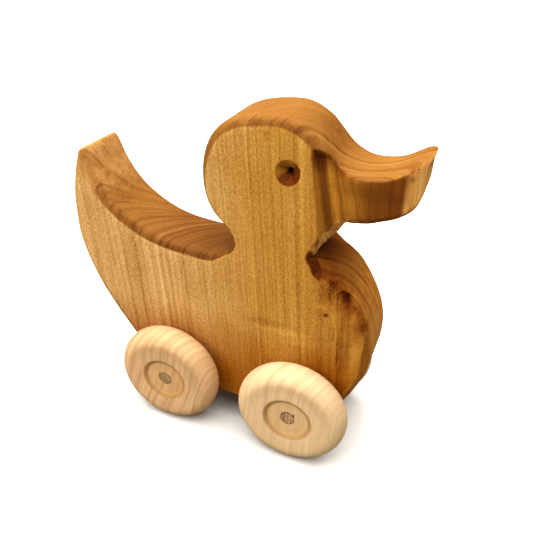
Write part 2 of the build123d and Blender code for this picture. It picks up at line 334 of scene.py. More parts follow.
# ---------------------------------------------------------------------------
# Meshing
# ---------------------------------------------------------------------------
def surface_net(field, low, high, step):
    """Zero level of the field: a vertex per crossed cell, a quad across each crossed edge."""
    counts = [int(math.ceil((b - a) / step)) + 1 for a, b in zip(low, high)]
    xs, ys, zs = [low[i] + step * np.arange(counts[i]) for i in range(3)]
    level = np.empty(counts, np.float32)
    for i in range(0, counts[0], 32):
        level[i:i + 32] = field(*np.meshgrid(xs[i:i + 32], ys, zs, indexing="ij"))
    inside = level < 0
    wide, deep, tall = [count - 1 for count in counts]
    corners = sum(inside[i:wide + i, j:deep + j, k:tall + k].astype(np.int8)
                  for i in (0, 1) for j in (0, 1) for k in (0, 1))
    active = (corners > 0) & (corners < 8)
    cells = np.argwhere(active)
    index = np.full(active.shape, -1, np.int64)
    index[active] = np.arange(len(cells))

    total = np.zeros((len(cells), 3))
    hits = np.zeros(len(cells))
    quads = []
    for axis in range(3):
        first, second = [other for other in range(3) if other != axis]
        # each vertex is the mean of the crossings on its cell's twelve edges
        for i in (0, 1):
            for j in (0, 1):
                near = np.zeros(3, int)
                near[first], near[second] = i, j
                far = near.copy()
                far[axis] = 1
                start = level[tuple((cells + near).T)]
                end = level[tuple((cells + far).T)]
                hit = (start < 0) != (end < 0)
                point = np.tile(near.astype(float), (len(cells), 1))
                point[:, axis] = np.where(hit, start / np.where(hit, start - end, 1.0), 0.0)
                total += point * hit[:, None]
                hits += hit
        edges = np.argwhere(np.diff(inside, axis=axis))
        edges = edges[(edges[:, first] > 0) & (edges[:, second] > 0)
                      & (edges[:, first] < counts[first] - 1)
                      & (edges[:, second] < counts[second] - 1)]
        around = []
        for i, j in ((-1, -1), (0, -1), (0, 0), (-1, 0)):
            cell = edges.copy()
            cell[:, first] += i
            cell[:, second] += j
            around.append(index[tuple(cell.T)])
        around = np.stack(around, 1)
        leaving = inside[tuple(edges.T)]
        turned = leaving if axis == 1 else ~leaving
        around[turned] = around[turned][:, ::-1]
        quads.append(around)
    verts = (cells + total / hits[:, None]) * step + np.array(low)
    return verts, np.vstack(quads)


def gradient(field, points, step=0.06):
    slope = np.empty_like(points)
    for k in range(3):
        before, after = points.copy(), points.copy()
        before[:, k] -= step
        after[:, k] += step
        slope[:, k] = (field(*after.T) - field(*before.T)) / (2 * step)
    return slope


def unit(vectors):
    return vectors / np.maximum(np.linalg.norm(vectors, axis=1), 1e-6)[:, None]


def relax(verts, quads, field, rounds):
    """Evens the net out along the surface and settles it onto the exact level."""
    edges = np.vstack([quads[:, [k, (k + 1) % 4]] for k in range(4)])
    here, there = np.vstack([edges, edges[:, ::-1]]).T
    size = len(verts)
    count = np.bincount(here, minlength=size).astype(float)
    for _ in range(rounds):
        mean = np.stack([np.bincount(here, verts[there, k], size) for k in range(3)], 1)
        move = mean / count[:, None] - verts
        slope = gradient(field, verts)
        normal = unit(slope)
        verts = verts + 0.6 * (move - (move * normal).sum(1)[:, None] * normal)
        steepness = np.maximum((slope * slope).sum(1), 0.2)
        verts = verts - np.clip(field(*verts.T) / steepness, -0.5, 0.5)[:, None] * slope
    return verts


def add_mesh(name, verts, faces, smooth=True):
    """Makes an object from millimetre vertices and an array of quads or a list of faces."""
    mesh = bpy.data.meshes.new(name)
    if isinstance(faces, np.ndarray):
        corners = faces.shape[1]
        mesh.vertices.add(len(verts))
        mesh.vertices.foreach_set("co", (verts * MM).astype(np.float32).ravel())
        mesh.loops.add(faces.size)
        mesh.loops.foreach_set("vertex_index", faces.astype(np.int32).ravel())
        mesh.polygons.add(len(faces))
        mesh.polygons.foreach_set("loop_start", np.arange(0, faces.size, corners, dtype=np.int32))
        mesh.update(calc_edges=True)
    else:
        mesh.from_pydata([tuple(vert * MM) for vert in verts], [], faces)
        mesh.update()
    mesh.validate()
    if smooth:
        mesh.polygons.foreach_set("use_smooth", np.ones(len(mesh.polygons), bool))
    piece = bpy.data.objects.new(name, mesh)
    bpy.context.scene.collection.objects.link(piece)
    return piece


def add_floats(piece, **attributes):
    for name, values in attributes.items():
        layer = piece.data.attributes.new(name, "FLOAT", "POINT")
        layer.data.foreach_set("value", np.asarray(values, np.float32))


def fit(piece, material, rides, replaces):
    """Gives a piece its material and its place in the product."""
    piece.data.materials.append(material)
    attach(piece, rides)
    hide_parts(replaces)


# ---------------------------------------------------------------------------
# Node helpers
# ---------------------------------------------------------------------------
class Signal:
    """A node's output; arithmetic on it adds Math nodes."""

    def __init__(self, graph, socket):
        self.graph = graph
        self.socket = socket

    def __add__(self, other):
        return self.graph.math("ADD", self, other)

    def __sub__(self, other):
        return self.graph.math("SUBTRACT", self, other)

    def __mul__(self, other):
        return self.graph.math("MULTIPLY", self, other)

    def __truediv__(self, other):
        return self.graph.math("DIVIDE", self, other)

    def __pow__(self, other):
        return self.graph.math("POWER", self, other)

    def scaled(self, factor, plus):
        return self.graph.math("MULTIPLY_ADD", self, factor, plus)

    def ramp(self, start, stop, low=0.0, high=1.0):
        """Eases from low to high as the signal goes from start to stop."""
        return self.graph.signal("MapRange", (self, start, stop, low, high),
                                 interpolation_type="SMOOTHSTEP")

    def window(self, rise, fall):
        return self.ramp(*rise) * self.ramp(*fall)

    def bell(self, centre, width):
        away = (self - centre) / width
        return self.graph.math("POWER", 2.718, away * away * -1.0)


class Graph:
    """Node tree of a material or world, built from empty."""

    def __init__(self, owner):
        owner.use_nodes = True
        self.owner = owner
        self.tree = owner.node_tree
        self.tree.nodes.clear()

    def put(self, socket, value):
        """Links a signal, or sets a number or a three-part colour."""
        if isinstance(value, Signal):
            self.tree.links.new(value.socket, socket)
        elif isinstance(value, tuple):
            socket.default_value = (*value, 1.0)
        else:
            socket.default_value = value

    def node(self, kind, inputs=(), **settings):
        """Adds a node; inputs are in order, or a dict by name or number."""
        made = self.tree.nodes.new("ShaderNode" + kind)
        for name, value in settings.items():
            setattr(made, name, value)
        pairs = inputs.items() if isinstance(inputs, dict) else enumerate(inputs)
        for key, value in pairs:
            self.put(made.inputs[key], value)
        return made

    def signal(self, kind, inputs=(), output=0, **settings):
        return Signal(self, self.node(kind, inputs, **settings).outputs[output])

    def math(self, operation, *values):
        return self.signal("Math", values, operation=operation)

    def attribute(self, name, output="Fac"):
        return self.signal("Attribute", output=output, attribute_name=name)

    def split(self, kind, whole):
        return [Signal(self, socket) for socket in self.node(kind, (whole,)).outputs[:3]]

    def coords(self):
        """Object x, y and z in millimetres."""
        place = self.signal("TexCoord", output="Object")
        return self.split("SeparateXYZ", self.scale(place, 1000.0))

    def noise(self, place, detail=2.0, rough=0.5):
        inputs = {"Vector": self.signal("CombineXYZ", place), "Scale": 1.0,
                  "Detail": detail, "Roughness": rough}
        return self.signal("TexNoise", inputs)

    def mix(self, share, base, other):
        return self.signal("Mix", {0: share, 6: base, 7: other}, output=2, data_type="RGBA")

    def scale(self, vector, factor):
        return self.signal("VectorMath", {0: vector, "Scale": factor}, operation="SCALE")

    def bump(self, height, strength, distance):
        """Distance is in metres."""
        return self.signal("Bump", {"Height": height, "Strength": strength, "Distance": distance})

    def principled(self, colour, roughness, normal, **others):
        inputs = {"Base Color": colour, "Roughness": roughness, "Normal": normal, **others}
        self.node("OutputMaterial", (self.signal("BsdfPrincipled", inputs),))
        return self.owner


def display(*channels):
    """8-bit display colour to the linear values a shader wants."""
    return tuple(value / 255 / 12.92 if value / 255 <= 0.04045
                 else ((value / 255 + 0.055) / 1.055) ** 2.4 for value in channels)


# ---------------------------------------------------------------------------
# Body
# ---------------------------------------------------------------------------
BODY_LOW, BODY_HIGH = (-85.6, -18.1, 13.4), (69.4, 18.1, 155.4)
BODY_STEP = 0.5
GRAIN = np.array([-0.0995, 0.0, 0.995])      # direction of the fibres
# Weights of the ring height's polynomial terms, in the order of ring_height's list
RING_WEIGHTS = [-27.76, 7.908, -8.81, 8.671, 1.348, 2.937, -0.011, 0.582, 1.358, 5.084, -5.347,
                2.439, 0.109]
# Darker and paler spots on both sides, stains and figure, with painted shade in the notch and at
# the top of the cove: (x, y, z, radius, up-stretch, amount)
MARKS = [
    (46.3, -15.5, 85.4, 2.6, 1.20, -0.48), (48.9, -15.7, 81.0, 2.2, 1.30, -0.36),
    (54.0, -15.4, 72.5, 3.0, 2.20, -0.55), (42.0, -16.0, 90.0, 4.5, 1.60, -0.34),
    (46.5, -16.3, 62.0, 1.3, 7.00, -0.22), (50.2, -16.0, 60.0, 1.5, 6.00, -0.18),
    (53.6, -15.5, 58.0, 2.4, 5.00, 0.30), (51.0, -14.0, 46.0, 3.0, 2.00, 0.20),
    (40.0, -16.3, 88.0, 3.0, 2.20, -0.32), (43.5, -16.3, 66.0, 0.6, 12.0, -0.22),
    (48.0, -16.3, 50.0, 0.7, 12.0, -0.20), (46.0, -16.3, 54.0, 0.4, 9.00, -0.35),
    (34.0, -5.9, 97.4, 4.5, 1.00, -0.30), (38.8, -10.2, 94.9, 4.0, 1.00, -0.16),
    (33.7, -15.5, 96.5, 2.6, 1.20, -0.22), (37.4, -16.3, 79.4, 2.8, 0.55, 0.34),
    (42.4, -16.3, 75.5, 2.4, 1.40, 0.24), (36.5, -16.3, 71.6, 2.2, 0.60, 0.10),
    (44.6, -16.3, 71.1, 2.0, 3.00, 0.12), (KNOT_X, -HALF_THICK, KNOT_Z, 0.9, 1.00, -0.40),
    (22.7, -16.3, 61.8, 9.0, 0.22, 0.26), (29.8, -16.3, 58.2, 8.0, 0.25, 0.17),
    (13.4, -16.3, 64.2, 9.0, 0.25, -0.22), (15.0, -16.3, 76.3, 10.0, 0.50, 0.05),
    (28.7, -13.4, 138.9, 2.2, 1.40, -0.25), (31.4, -12.6, 139.9, 2.2, 1.00, -0.20),
    (-72.3, -13.9, 118.3, 3.0, 1.50, -0.10), (-68.8, -15.3, 110.1, 3.2, 1.50, -0.14),
    (15.5, -13.8, 152.3, 3.0, 0.60, -0.08), (23.1, -13.7, 149.7, 3.0, 0.70, -0.08),
    (-10.1, -7.3, 146.5, 2.6, 0.80, -0.10), (62.0, -13.0, 137.2, 1.2, 1.00, -0.35),
    (60.2, -13.4, 134.8, 1.0, 0.80, -0.25), (63.1, -12.5, 140.0, 1.0, 1.00, -0.20)]
# Oiled wood, fibre ends darker; the plank face has painted light, lit pale toward the tail and
# dimmer amber toward the head, and painted shade deeper toward the breast and bottom
FACE_LIT_PALE = display(214, 170, 110)
FACE_DIMMER_AMBER = display(194, 144, 66)
FACE_SHADED_DEEP = display(162, 96, 10)
END_PALE = display(200, 152, 92)
END_TAN = display(150, 103, 46)
END_DEEP = display(128, 82, 34)
BREAST_SHADED_RED = display(146, 86, 22)
BREAST_LIT_TAN = display(190, 132, 54)
POCKET_SHADE = display(104, 48, 10)
CUT_GOLD_LIT = display(206, 148, 56)
CUT_BROWN_SHADE = display(124, 69, 19)
CUT_PALE_LIT = display(238, 184, 106)
EYE_LIT = display(190, 134, 44)
EYE_SHADED = display(122, 62, 14)
# Painted light and shade bands of the cove: (distance ahead of the cheek edge, share of lit gold)
CUT_LIGHT_BANDS = np.array([
    (-0.5, 0.9), (0.5, 0.7), (1.4, 0.15), (3.4, 0.15), (4.6, 0.8), (6.6, 0.85), (8.0, 0.45),
    (15.0, 0.5), (19.0, 0.2), (30.0, 0.05)])


def ring_height(x, y, z):
    """A smooth field whose height labels an annual ring."""
    u = (x + 0.1 * (z - 100)) / 50
    v = y / 16
    terms = [u, v, u * u, u * v, v * v, u ** 3, u * u * v, u * v * v, v ** 3, u ** 4, u ** 3 * v,
             u * u * v * v, u * v ** 3]
    return sum(weight * term for weight, term in zip(RING_WEIGHTS, terms))


def surface_relief(x, y, z, flat, ring):
    """Offset along the normal: sanding, saw texture on the tail, fibres and ring lines."""
    sand = 0.07 * waves(x, y, z, 3, 24.0, 2) * (1 - flat)
    saw_phase = (x * 0.45 + z) * 2.9 + waves(x, y, z, 8, 20.0, 1)
    saw = 0.045 * np.sin(saw_phase) * (smoothstep(-52, -66, x) * flat)
    fibre = 0.012 * waves(x * 3.0, y * 3.0, z * 0.35, 5, 3.4, 3) * flat
    lines = 0.018 * np.sin(ring * 2 * math.pi / 2.6) * (1 - flat)
    move = np.minimum(sand + saw + fibre + lines, 0.10) - 0.04
    up = z - WHEEL_RADIUS
    from_bore = np.minimum(np.hypot(x - HALF_BASE, up), np.hypot(x + HALF_BASE, up))
    return move * smoothstep(3.4, 4.2, from_bore)


def mark_stain(x, y, z):
    out = np.zeros(len(x))
    for mark_x, mark_y, mark_z, radius, stretch, amount in MARKS:
        wobble = 1 + 0.25 * waves(x, y, z, int(abs(mark_x * 7 + mark_z)) % 97, 6.0, 2)
        away = np.sqrt((x - mark_x) ** 2 + (y - mark_y) ** 2 + ((z - mark_z) / stretch) ** 2)
        out += amount * np.exp(-(away / (radius * wobble)) ** 2.4)
    return out


def blend(base, other, share):
    """Colours mixed by a share for each vertex."""
    base, other = np.atleast_2d(base), np.atleast_2d(other)
    return base + (other - base) * np.clip(share, 0, 1)[:, None]


def eye_colour(x, z):
    """Painted light on the upper back of the cone, painted shade toward the drilled centre, with a
    slanting crack.
    """
    angle = np.arctan2(z - EYE_Z, x - EYE_X)
    radius = np.hypot(x - EYE_X, z - EYE_Z) / EYE_RADIUS
    lit = smoothstep(-0.35, 0.75, np.cos(angle - math.radians(128)))[:, None]
    colour = lit * np.array(EYE_LIT) + (1 - lit) * np.array(EYE_SHADED)
    colour = colour * (0.35 + 0.65 * smoothstep(0.18, 0.42, radius))[:, None]
    crack = np.abs((z - EYE_Z) + 0.80 * (x - EYE_X) + 0.5) < 0.28
    return np.where((crack & (radius < 0.9) & (radius > 0.1))[:, None], colour * 0.45, colour)


def body_tone(x, y, z, normals, edge, flat, carved, eye):
    """Base colour of the wood at each vertex, with painted light and shade on the face, breast,
    cove, chin bevel, beak end, scoop and eye.
    """
    side = np.abs(y)
    drift = 0.12 * waves(x, y, z, 12, 30.0, 2)
    # painted light: the face goes from lit pale toward the tail to dimmer amber toward the head
    face = blend(FACE_LIT_PALE, FACE_DIMMER_AMBER, smoothstep(-40, 16, x) + drift)
    # painted shade: deeper toward the bottom and toward the breast
    painted_shading = 0.85 * smoothstep(66, 30, z) + 0.35 * smoothstep(20, 46, x) + drift
    face = blend(face, FACE_SHADED_DEEP, painted_shading)

    ends = blend(END_PALE, END_TAN, smoothstep(-74, -60, x) + drift)
    ends = blend(ends, END_DEEP, smoothstep(-62, -34, x) * smoothstep(104, 94, z))
    # painted shade: the breast is red-brown near the notch under the head, and lit tan further
    # forward
    breast = blend(BREAST_SHADED_RED, BREAST_LIT_TAN, smoothstep(34, 52, x) + drift)
    ends = blend(ends, breast, smoothstep(22, 30, x) * smoothstep(104, 99, z))

    # painted light and shade across the cove, with painted shade at its top under the head's
    # overhang
    cove_lit_share = np.interp(past_cheek(x, z), *CUT_LIGHT_BANDS.T)
    cove_lit_share = cove_lit_share + 0.6 * drift - 0.4 * smoothstep(132, 139, z) * (x < 40)
    cut = blend(CUT_BROWN_SHADE, CUT_GOLD_LIT, cove_lit_share)
    # the nose facet: paler wood with painted light on it
    cut = blend(cut, CUT_PALE_LIT, 0.85 * smoothstep(59.5, 62.5, x))

    tone = blend(ends, face, flat)
    tone = blend(tone, cut, carved)
    # painted light on the chin bevel, as lit from the floor below
    on_bevel = smoothstep(0.42, 0.18, np.abs(chin_bevel(x, side, z, edge)))
    tone = blend(tone, CUT_PALE_LIT, 0.70 * on_bevel)
    # painted light where the beak's end faces forward
    beak_end = (smoothstep(59.5, 63.0, x) * smoothstep(0.15, 0.55, normals[:, 0])
                * smoothstep(145.0, 136.0, z))
    tone = blend(tone, CUT_PALE_LIT, 0.70 * beak_end)
    # painted shade in the scoop under the chin
    scoop_shade = smoothstep(-0.55, -0.10, notch_scoop(x, side, z)) * (edge < 0.2) * (y < 0)
    tone = blend(tone, POCKET_SHADE, 0.85 * scoop_shade)
    return np.where(eye[:, None] > 0.5, eye_colour(x, z), tone)


def make_body():
    verts, quads = surface_net(body_field, BODY_LOW, BODY_HIGH, BODY_STEP)
    verts = relax(verts, quads, body_field, rounds=3)
    normals = unit(gradient(body_field, verts))
    x, y, z = verts.T
    side = np.abs(y)
    edge = outline_distance(x, z)

    # which part of the surface a vertex is on
    flat = (smoothstep(HALF_THICK - 0.35, HALF_THICK - 0.05, side)
            * (np.abs(normals[:, 1]) > 0.9))
    on_cut = (np.abs(beak_cut(x, side, z)) < 0.35) & (x > 20) & (z > 100) & (edge < -0.35)
    on_nose = (np.abs(nose_cut(x, side)) < 0.5) & (x > 57) & (edge < -0.5)
    carved = ((on_cut | on_nose).astype(float)
              * smoothstep(HALF_THICK - 0.02, HALF_THICK - 0.15, side))
    nose = (smoothstep(0.35, 0.75, normals[:, 0]) * (x > 58) * (side > 7.5) * (z > 118)
            * smoothstep(0.15, 0.35, np.abs(normals[:, 1])))
    in_eye = (np.hypot(x - EYE_X, z - EYE_Z) < EYE_RADIUS) & (side < HALF_THICK - 0.05)
    eye = in_eye.astype(float)
    ring = ring_height(x, y, z)

    moved = verts + normals * surface_relief(x, y, z, flat, ring)[:, None]
    body = add_mesh("duck_body_carved", moved + np.array([AXLE_SHIFT, 0, 0]), quads)
    add_floats(body, ring=ring, flat=flat, carved=carved, nose=nose, eye=eye,
               endgrain=np.abs(normals @ GRAIN), rim=np.abs(edge), stain=mark_stain(x, -side, z))
    tone = body_tone(x, y, z, normals, edge, flat, carved, eye)
    layer = body.data.color_attributes.new("tone", "FLOAT_COLOR", "POINT")
    rgba = np.hstack([tone, np.ones((len(tone), 1))])
    layer.data.foreach_set("color", rgba.astype(np.float32).ravel())
    fit(body, body_material(), "duck", "duck_body")


RING_SPACING = 1.3
# Rings that stand out: (ring height, width, brightening)
SPECIAL_RINGS = (
    (14.9, 0.35, 0.50), (15.9, 0.35, -0.30), (13.9, 0.35, -0.25), (19.4, 0.5, -0.30),
    (21.6, 0.5, -0.28), (24.5, 0.6, -0.28), (29.4, 0.7, -0.30), (12.5, 0.4, -0.22),
    (9.1, 0.4, -0.2), (-13.6, 0.35, -0.28), (-12.6, 0.35, 0.25), (-2.0, 0.4, -0.18),
    (-32.2, 0.5, -0.45), (-27.8, 0.45, 0.35), (-26.6, 0.5, -0.3), (-35.9, 0.6, -0.35))


def body_material():
    graph = Graph(bpy.data.materials.new("oiled_hardwood"))
    x, y, z = graph.coords()
    leaned = z.scaled(0.1, plus=x)               # follows the lean of the grain
    ring = graph.attribute("ring")
    flat = graph.attribute("flat")
    endgrain = graph.attribute("endgrain")

    # annual rings: each darkens toward its late wood, by its own random amount
    drift = graph.noise((leaned * 0.05, y * 0.07, z * 0.012)) - 0.5
    wandering = drift.scaled(0.7, plus=ring)
    cycle = wandering / RING_SPACING
    phase = graph.math("FRACT", cycle)
    pick = graph.signal("TexWhiteNoise", {"W": graph.math("FLOOR", cycle)}, noise_dimensions="1D")
    late = phase ** 3.0 * pick.scaled(1.0, plus=0.25)
    special = 0.0
    for centre, width, amount in SPECIAL_RINGS:
        special = ring.bell(centre, width).scaled(amount, plus=special)

    # noises, stretched along the grain where their z factor is small
    streak = graph.noise((wandering * 1.1, 0.0, z * 0.006), detail=3.0, rough=0.6) - 0.5
    fine = graph.noise((leaned * 0.75, y * 0.75, z * 0.03), detail=3.0, rough=0.65) - 0.5
    fibre = graph.noise((leaned * 2.2, y * 2.2, z * 1.05), rough=0.8) - 0.5
    pores = graph.noise((x * 0.8, y * 0.8, z * 0.8), rough=0.7) - 0.5
    cloud = graph.noise((x * 0.06, y * 0.06, z * 0.03)) - 0.5
    blotch = graph.noise((x * 0.22, y * 0.22, z * 0.22), detail=3.0, rough=0.6)

    on_top = endgrain.ramp(start=0.22, stop=0.60)    # 1 where the ends of the fibres show
    smudge = (endgrain.window(rise=(0.10, 0.38), fall=(0.90, 0.55))
              * blotch.ramp(start=0.36, stop=0.62, low=0.25))
    value = 1.04
    # (pattern, weight on side grain, what end grain adds to the weight)
    for pattern, weight, end_change in (
            (late, -0.22, -0.08), (streak, 0.36, 0.10), (fine, 0.58, -0.35),
            (fibre, flat.scaled(0.90, plus=0.70), -0.60), (pores, 0.12, 0.30),
            (special, 0.50, 0.12)):
        value = pattern.scaled(on_top.scaled(end_change, plus=weight), plus=value)
    value = smudge.scaled(-0.28, plus=value)
    value = cloud.scaled(0.16, plus=value)
    # the marks: stains and figure, and painted shade in the notch and at the top of the cove
    value = value + graph.attribute("stain")
    deeper = graph.math("MAXIMUM", value, 0.05)

    # darker wood goes redder: each channel has its own power of the value
    channels = graph.split("SeparateColor", graph.attribute("tone", "Color"))
    toned = [channel * graph.math("MAXIMUM", deeper, 0.05) ** power
             for channel, power in zip(channels, (0.8, 1.2, 1.8))]
    rough = pores.scaled(0.25, plus=on_top.scaled(-0.06, plus=0.58))
    height = fibre.scaled(on_top.scaled(-0.8, plus=1.0), plus=late * 0.3)
    height = pores.scaled(on_top * 0.5, plus=height)
    return graph.principled(
        colour=graph.signal("CombineColor", toned),
        roughness=fibre.scaled(0.2, plus=rough),
        normal=graph.bump(height, strength=0.35, distance=0.00012),
        **{"Specular IOR Level": 0.06})


make_body()

# ---------------------------------------------------------------------------
# Wheels: turned, with a domed ring, a rolled lip and a sunken hub floor
# ---------------------------------------------------------------------------
RIM_DEPTH = 7.14                         # radial depth of the rounded rim
RIM_FRONT, RIM_BACK = 7.28, -6.64        # faces, outward of the rim circle
RIM_POWER = 2.11                         # 2 would be an ellipse
WHEEL_SEGMENTS = 288


def rim_point(degrees, face):
    angle = math.radians(degrees)
    return (WHEEL_RADIUS - RIM_DEPTH + RIM_DEPTH * max(math.cos(angle), 0) ** (2 / RIM_POWER),
            face * math.sin(angle) ** (2 / RIM_POWER))


def wheel_profile():
    """(radius, outward offset), from the hub hole over the front, rim and back to the bore."""
    hub_floor = [(r, HUB_OUT) for r in (HUB_BORE, 3.3, 3.5, 3.9, 4.6, 5.6, 6.8, 7.8, 8.5)]
    wall = [(8.9 + 2.5 * t, HUB_OUT + 1.27 * smoothstep(0.0, 1.0, t))
            for t in np.linspace(0, 1, 20)]
    lip = [(12.1, 7.03), (12.9, 7.11), (13.9, 7.18), (15.0, 7.23), (16.2, 7.26), (17.3, 7.275)]
    front = [rim_point(degrees, RIM_FRONT) for degrees in np.linspace(90, 0, 34)]
    back = [rim_point(degrees, RIM_BACK) for degrees in np.linspace(0, 90, 30)[1:]]
    back += [(r, RIM_BACK) for r in (16.5, 14.0, 11.0, 8.0, 6.0, 4.6, 3.6, HUB_BORE)]
    bore = [(HUB_BORE, out) for out in (-5.0, -2.5, 0.0, 2.0, 3.4, 4.2)]
    bore += [(3.19, 4.9), (3.2, 5.35)]
    return np.array(hub_floor + wall + lip + front + back + bore)


def make_wheel(name, x, side, seed, dents):
    """Side is -1 or 1; dents widen the hub hole: (degrees, width in radians, depth, power)."""
    profile = wheel_profile()
    points = len(profile)
    turn = np.arange(WHEEL_SEGMENTS) / WHEEL_SEGMENTS * 2 * math.pi
    angle = turn[:, None]
    radius = np.tile(profile[:, 0], (WHEEL_SEGMENTS, 1))
    out = np.tile(profile[:, 1], (WHEEL_SEGMENTS, 1))
    # rim and face are a touch uneven
    outer = smoothstep(9.5, 12.0, radius)
    rim_wobble = 0.05 + 0.05 * round_waves(9, angle, seed, 14, 2, out=out)
    radius = radius - outer * smoothstep(20, 25, radius) * rim_wobble
    face = smoothstep(4.0, 6.0, out)
    out = out + face * outer * (0.035 * round_waves(radius, angle, seed + 1, 17.0, 2) - 0.03)
    out = (out + face * 0.008 * np.sin(radius * 2 * math.pi / 0.9 + seed)
           * smoothstep(4.5, 6, radius))
    out = (out + (1 - outer) * face * 0.02 * round_waves(radius, angle, seed + 2, 5.0, 2)
           * smoothstep(3.5, 5, radius))
    # crumbled edge of the bored hole
    hole = np.zeros(WHEEL_SEGMENTS)
    for degrees, width, depth, power in dents:
        away = (turn - math.radians(degrees) + math.pi) % (2 * math.pi) - math.pi
        hole += depth * np.exp(-(away / width) ** power)
    hole += 0.03 + 0.03 * round_waves(4, turn, seed + 3, 3.0, 3)
    for k, (point_radius, point_out) in enumerate(profile):
        if point_radius < 6.0 and point_out > 4.0:
            share = smoothstep(6.0, 3.3, point_radius) * (1.0 if point_out > 4.5 else 0.45)
            radius[:, k] += hole * share
            if point_out > 5.6 and point_radius < 3.6:
                out[:, k] -= 0.05 * (1 + round_waves(4, turn, seed + 4, 2.0, 2))
    verts = np.stack([radius * np.cos(angle), side * (TRACK + out), radius * np.sin(angle)], 2)
    verts = verts.reshape(-1, 3)
    i, j = np.meshgrid(np.arange(WHEEL_SEGMENTS), np.arange(points), indexing="ij")
    here, there = i * points, (i + 1) % WHEEL_SEGMENTS * points
    after = (j + 1) % points
    quads = np.stack([here + j, here + after, there + after, there + j], 2).reshape(-1, 4)
    if side > 0:
        quads = quads[:, ::-1]
    wheel = add_mesh(name, verts + np.array([x + AXLE_SHIFT, 0, WHEEL_RADIUS]), quads)
    add_floats(wheel, radius=np.hypot(verts[:, 0], verts[:, 2]), out=out.reshape(-1),
               side=verts[:, 0], up=verts[:, 2])
    return wheel


PITH_CROSS, PITH_OUT = 60.0, -8.0        # centre of the wheels' growth rings
RIM_SHADE_TAN = display(170, 128, 84)
RECESS_WALL_SHADE = display(168, 124, 66)
FLOOR_TAN = display(214, 168, 108)
HOLE_SHADE = display(50, 30, 14)


def wheel_material(name, degrees, pale, mid, dark, strength, seed):
    """Sanded, unfinished wood; the grain runs at `degrees` in the wheel's plane."""
    graph = Graph(bpy.data.materials.new(name))
    x, up, out = [graph.attribute(axis) for axis in ("side", "up", "out")]
    radius = graph.attribute("radius")
    cos, sin = math.cos(math.radians(degrees)), math.sin(math.radians(degrees))
    along = x * cos + up * sin
    cross = up * cos - x * sin
    warp = graph.noise((along * 0.025, cross * 0.03, out.scaled(0.03, plus=seed * 3.1))) - 0.5
    pith_cross = (cross - PITH_CROSS) + warp * 9.0
    pith_out = (out - PITH_OUT) * 1.7
    from_pith = graph.math("SQRT", pith_cross * pith_cross + pith_out * pith_out)

    broad = graph.noise((from_pith * 0.42, along * 0.010, seed), rough=0.55)
    narrow = graph.noise((from_pith * 1.1, along * 0.02, seed + 4.0), detail=3.0, rough=0.6)
    fine = graph.noise((cross * 1.2, along * 0.07, out * 1.2), detail=3.0, rough=0.65) - 0.5
    fleck = graph.noise((cross * 1.0, along * 0.30, out * 1.0), rough=0.7) - 0.5
    cloud = graph.noise((x * 0.05, up * 0.05, seed * 9.0))
    figure = broad.ramp(start=0.36, stop=0.66) * (0.62 * strength)
    for pattern, weight in ((narrow.ramp(start=0.42, stop=0.70), 0.38),
                            (cloud - 0.5, 0.5), (fine, 0.5)):
        figure = pattern.scaled(weight * strength, plus=figure)
    colour = graph.mix(figure, pale, mid)
    colour = graph.mix(figure.ramp(start=0.55, stop=1.15) * 0.8, colour, dark)
    # painted shade: a darker band between rim and lip on the upper half, where the face turns from
    # the top light
    rim_shade = (radius.window(rise=(14.0, 17.0), fall=(21.5, 18.5))
             * up.ramp(start=-6.0, stop=12.0))
    colour = graph.mix(rim_shade * (0.26 * strength), colour, RIM_SHADE_TAN)
    colour = graph.scale(colour, fleck.scaled(0.16, plus=fine.scaled(0.14, plus=1.0)))
    # painted shade on the recess wall
    wall = radius.window(rise=(8.9, 9.8), fall=(11.9, 10.7))
    colour = graph.mix(wall * 0.72, colour, RECESS_WALL_SHADE)
    hub_floor = radius.ramp(start=10.2, stop=9.4)
    colour = graph.mix(hub_floor * 0.35, colour, FLOOR_TAN)
    # painted shade in the gap between the dowel and the bored hole
    hole = radius.ramp(start=4.2, stop=3.4) * out.ramp(start=5.70, stop=5.50)
    colour = graph.mix(hole, colour, HOLE_SHADE)
    lathe = graph.math("SINE", radius * 9.0)
    return graph.principled(
        colour=colour,
        roughness=fleck.scaled(0.3, plus=0.60),
        normal=graph.bump(fleck * 1.0 + lathe * 0.12, strength=0.3, distance=0.0001),
        **{"Specular IOR Level": 0.18})


AXLE_X = {"rear": -HALF_BASE, "front": HALF_BASE}
SIDES = {"right": -1, "left": 1}
# (end, side, shape seed, dents,
#  material, grain degrees, pale, mid and dark colours, strength, grain seed)
WHEELS = (
    ("rear", "right", 11, ((300, 0.5, 0.12, 4),),
     "maple_rear", 76, (229, 192, 146), (194, 150, 106), (148, 104, 68), 0.88, 1.0),
    ("front", "right", 12, ((95, 1.0, 0.52, 4), (46, 0.11, 0.95, 2)),
     "maple_front", 86, (236, 206, 164), (214, 178, 134), (180, 138, 96), 0.75, 2.0),
    ("rear", "left", 13, ((210, 0.6, 0.16, 4),),
     "maple_far_rear", 110, (232, 197, 148), (204, 160, 112), (166, 120, 78), 0.9, 4.0),
    ("front", "left", 14, ((40, 0.5, 0.12, 4),),
     "maple_far_front", 35, (234, 200, 150), (206, 164, 116), (172, 128, 84), 0.85, 3.0))

for end, side, seed, dents, wood, degrees, pale, mid, dark, strength, grain_seed in WHEELS:
    node = f"{end}_wheel_{side}"
    wheel = make_wheel(node + "_turned", AXLE_X[end], SIDES[side], seed, dents)
    material = wheel_material(wood, degrees, display(*pale), display(*mid), display(*dark),
                              strength, grain_seed)
    fit(wheel, material, end + "_wheelset", node)

# ---------------------------------------------------------------------------
# Axles: dowels ending just inside the hub floors
# ---------------------------------------------------------------------------
DOWEL_HALF = TRACK + HUB_OUT - 0.05
DOWEL_SEGMENTS = 96
DOWEL_ROWS = 60
DOWEL_END_RADII = [0.3, 0.7, 1.1, 1.5, 1.9, 2.3, 2.65, 2.9, 3.03]


